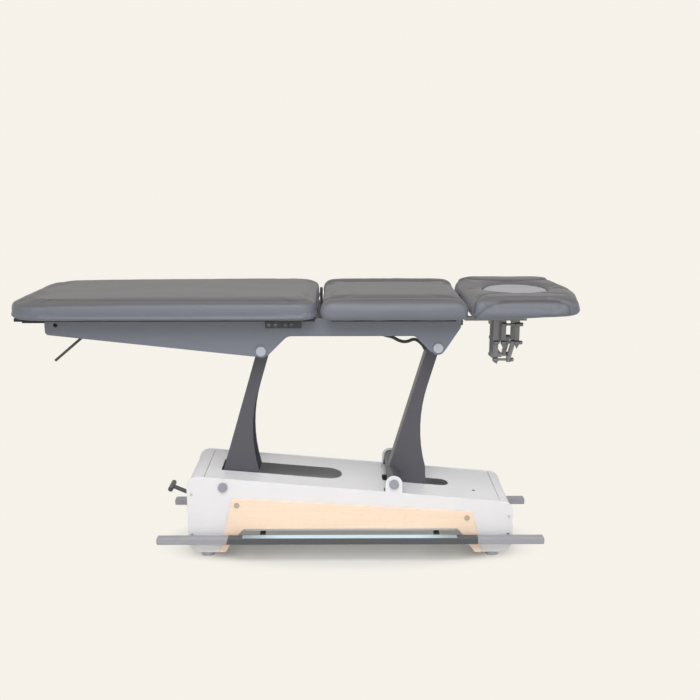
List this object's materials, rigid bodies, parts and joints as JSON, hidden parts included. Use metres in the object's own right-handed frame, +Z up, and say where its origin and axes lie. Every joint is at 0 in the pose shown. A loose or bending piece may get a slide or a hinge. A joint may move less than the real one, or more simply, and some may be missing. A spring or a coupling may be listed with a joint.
{
  "type": "chiropractic table",
  "caption": "Padded treatment table with parallel-arm electric lift, raising leg section, tilting and side-swinging head section with face plug, sheet metal base and rocking foot bars.",
  "frame": {"origin": "floor level under the middle of the table top's outline", "axes": "+X from the foot end to the head end, +Y from the near side to the far side, +Z up"},
  "size_m": [2.072, 0.58, 1.0333],
  "materials": {
    "plate_white": "semi-gloss white powder coat",
    "cover_grey": "satin light grey paint on bent sheet",
    "beech": "clear satin varnish on pale beech",
    "trim_grey": "satin light grey",
    "dark_steel": "dark grey paint",
    "bright_steel": "zinc plated steel",
    "rubber": "matt black",
    "black_plastic": "fine grained black",
    "bar_grey": "dark grey anodised",
    "light_strip": "frosted light diffuser",
    "arm_paint": "satin slate grey paint",
    "frame_paint": "satin mid grey paint",
    "button_silver": "satin silver",
    "board_black": "black painted plywood and rails",
    "vinyl_grey": "matt grey upholstery vinyl with fine grain",
    "plug_grey": "light grey upholstery vinyl"
  },
  "bodies": {
    "base": {"side_plate_near": "plate_white", "side_plate_far": "plate_white", "top_cover": "cover_grey", "foot_end_cover": "cover_grey", "head_end_cover": "cover_grey", "wood_panel_near": "beech", "wood_panel_far": "beech", "panel_caps": "trim_grey", "chassis": "dark_steel", "foot_pads": "rubber", "case_screws": "bright_steel", "lower_shafts": "bright_steel", "lower_shaft_caps": "trim_grey", "control_box": "black_plastic", "mains_inlet": "black_plastic"},
    "foot_bar_near": {"foot_bar_near": "bar_grey", "bar_sleeves_near": "trim_grey", "light_strip_near": "light_strip"},
    "foot_bar_far": {"foot_bar_far": "bar_grey", "bar_sleeves_far": "trim_grey", "light_strip_far": "light_strip"},
    "pedal": {"pedal": "dark_steel"},
    "rocker_foot": {"wheel_rocker_foot": "dark_steel"},
    "rocker_head": {"wheel_rocker_head": "dark_steel"},
    "wheels_foot": {"wheels_foot": "rubber"},
    "wheels_head": {"wheels_head": "rubber"},
    "actuator": {"actuator_housing": "black_plastic"},
    "actuator_rod": {"actuator_rod": "bright_steel"},
    "foot_arm": {"foot_arm": "arm_paint", "foot_arm_bushes": "black_plastic"},
    "head_arm": {"head_arm": "arm_paint", "head_arm_bushes": "black_plastic"},
    "frame": {"frame_plate_near": "frame_paint", "frame_plate_far": "frame_paint", "frame_crossbars": "dark_steel", "upper_shafts": "bright_steel", "upper_shaft_caps": "trim_grey", "mid_board": "board_black", "mid_cushion": "vinyl_grey", "mid_bolsters": "vinyl_grey", "control_panels": "black_plastic", "cable_conduit": "black_plastic", "conduit_gland": "dark_steel"},
    "up_button": {"up_button": "button_silver"},
    "down_button": {"down_button": "button_silver"},
    "leg_button": {"leg_button": "button_silver"},
    "head_button": {"head_button": "button_silver"},
    "leg_section": {"leg_rails": "board_black", "leg_board": "board_black", "leg_cushion": "vinyl_grey"},
    "spring_cylinder": {"gas_spring_cylinder": "black_plastic"},
    "spring_rod": {"gas_spring_rod": "bright_steel"},
    "release_lever": {"release_lever": "dark_steel"},
    "head_carrier": {"head_carrier": "dark_steel"},
    "link_near": {"swing_link_near": "dark_steel"},
    "link_far": {"swing_link_far": "dark_steel"},
    "head_section": {"head_yoke": "frame_paint", "head_board": "board_black", "head_cushion": "vinyl_grey"},
    "face_plug": {"face_plug": "plug_grey"}
  },
  "joints": [
    {"name": "lift", "type": "hinge", "parent": "base", "child": "head_arm", "pos_m": [0.353, 0, 0.305], "axis": [0, 1, 0], "range_deg": [-6, 70]},
    {"name": "frame_level", "type": "hinge", "parent": "head_arm", "child": "frame", "pos_m": [0.50917, 0, 0.83393], "axis": [0, 1, 0], "range_deg": [-70, 6], "deforming": ["cable_conduit"]},
    {"name": "foot_arm_swing", "type": "hinge", "parent": "base", "child": "foot_arm", "pos_m": [-0.296, 0, 0.294], "axis": [0, 1, 0], "range_deg": [-6, 70]},
    {"name": "actuator_swing", "type": "hinge", "parent": "base", "child": "actuator", "pos_m": [-0.082, 0, 0.15], "axis": [0, 1, 0], "range_deg": [-2, 8]},
    {"name": "actuator_stroke", "type": "slide", "parent": "actuator", "child": "actuator_rod", "axis": [0.9727, 0, 0.2321], "range_m": [-0.11, 0.02]},
    {"name": "bar_near_rock", "type": "hinge", "parent": "base", "child": "foot_bar_near", "pos_m": [0, -0.117, 0.119], "axis": [1, 0, 0], "range_deg": [-3, 3], "stiffness_Nm_per_rad": 300, "springref_deg": -0.25},
    {"name": "bar_far_rock", "type": "hinge", "parent": "base", "child": "foot_bar_far", "pos_m": [0, 0.117, 0.119], "axis": [1, 0, 0], "range_deg": [-3, 3], "stiffness_Nm_per_rad": 300, "springref_deg": 0.25},
    {"name": "pedal_press", "type": "hinge", "parent": "base", "child": "pedal", "pos_m": [-0.395, 0, 0.181], "axis": [0, 1, 0], "range_deg": [-15, 0]},
    {"name": "wheel_drop_foot", "type": "hinge", "parent": "base", "child": "rocker_foot", "pos_m": [-0.318, 0, 0.075], "axis": [0, 1, 0], "range_deg": [-10, 1]},
    {"name": "wheel_drop_head", "type": "hinge", "parent": "base", "child": "rocker_head", "pos_m": [0.692, 0, 0.075], "axis": [0, 1, 0], "range_deg": [-1, 10]},
    {"name": "wheel_spin_foot", "type": "hinge", "parent": "rocker_foot", "child": "wheels_foot", "pos_m": [-0.368, 0, 0.034], "axis": [0, 1, 0], "continuous": true},
    {"name": "wheel_spin_head", "type": "hinge", "parent": "rocker_head", "child": "wheels_head", "pos_m": [0.742, 0, 0.034], "axis": [0, 1, 0], "continuous": true},
    {"name": "up_button_press", "type": "slide", "parent": "frame", "child": "up_button", "axis": [0, 1, 0], "range_m": [0, 0.0015], "stiffness_N_per_m": 400, "springref_m": -0.001},
    {"name": "down_button_press", "type": "slide", "parent": "frame", "child": "down_button", "axis": [0, 1, 0], "range_m": [0, 0.0015], "stiffness_N_per_m": 400, "springref_m": -0.001},
    {"name": "leg_button_press", "type": "slide", "parent": "frame", "child": "leg_button", "axis": [0, 1, 0], "range_m": [0, 0.0015], "stiffness_N_per_m": 400, "springref_m": -0.001},
    {"name": "head_button_press", "type": "slide", "parent": "frame", "child": "head_button", "axis": [0, 1, 0], "range_m": [0, 0.0015], "stiffness_N_per_m": 400, "springref_m": -0.001},
    {"name": "leg_raise", "type": "hinge", "parent": "frame", "child": "leg_section", "pos_m": [0.0745, 0, 1.00482], "axis": [0, 1, 0], "range_deg": [0, 70]},
    {"name": "spring_swing", "type": "hinge", "parent": "frame", "child": "spring_cylinder", "pos_m": [0.00025, 0, 0.89], "axis": [0, 1, 0], "range_deg": [-2, 72]},
    {"name": "spring_stroke", "type": "slide", "parent": "spring_cylinder", "child": "spring_rod", "axis": [-0.9933, 0, 0.1159], "range_m": [-0.005, 0.18]},
    {"name": "lever_pull", "type": "hinge", "parent": "frame", "child": "release_lever", "pos_m": [-0.79475, -0.1, 0.874], "axis": [0, 1, 0], "range_deg": [0, 12], "stiffness_Nm_per_rad": 3, "springref_deg": -8.59},
    {"name": "head_tilt", "type": "hinge", "parent": "frame", "child": "head_carrier", "pos_m": [0.607, 0, 0.99492], "axis": [0, 1, 0], "range_deg": [-35, 30]},
    {"name": "swing_near", "type": "hinge", "parent": "head_carrier", "child": "link_near", "pos_m": [0.801, -0.05, 0.829], "axis": [1, 0, 0], "range_deg": [-15, 15]},
    {"name": "swing_far", "type": "hinge", "parent": "head_carrier", "child": "link_far", "pos_m": [0.801, 0.05, 0.829], "axis": [1, 0, 0], "range_deg": [-15, 15]},
    {"name": "yoke_level", "type": "hinge", "parent": "link_near", "child": "head_section", "pos_m": [0.789, -0.05, 0.763], "axis": [1, 0, 0], "range_deg": [-15, 15]},
    {"name": "plug_lift", "type": "slide", "parent": "head_section", "child": "face_plug", "axis": [0, 0, 1], "range_m": [0, 0.09]}
  ],
  "couplings": [
    {"joint": "frame_level", "follows": "lift", "ratio": -1},
    {"joint": "foot_arm_swing", "follows": "lift", "ratio": 1},
    {"joint": "actuator_swing", "follows": "lift", "ratio": 0.089859},
    {"joint": "actuator_stroke", "follows": "lift", "m_per_rad": -0.082818},
    {"joint": "wheel_drop_foot", "follows": "pedal_press", "ratio": 0.6},
    {"joint": "wheel_drop_head", "follows": "pedal_press", "ratio": -0.6},
    {"joint": "spring_swing", "follows": "leg_raise", "ratio": 0.95723},
    {"joint": "spring_stroke", "follows": "leg_raise", "m_per_rad": 0.1274},
    {"joint": "swing_far", "follows": "swing_near", "ratio": 1},
    {"joint": "yoke_level", "follows": "swing_near", "ratio": -1}
  ]
}
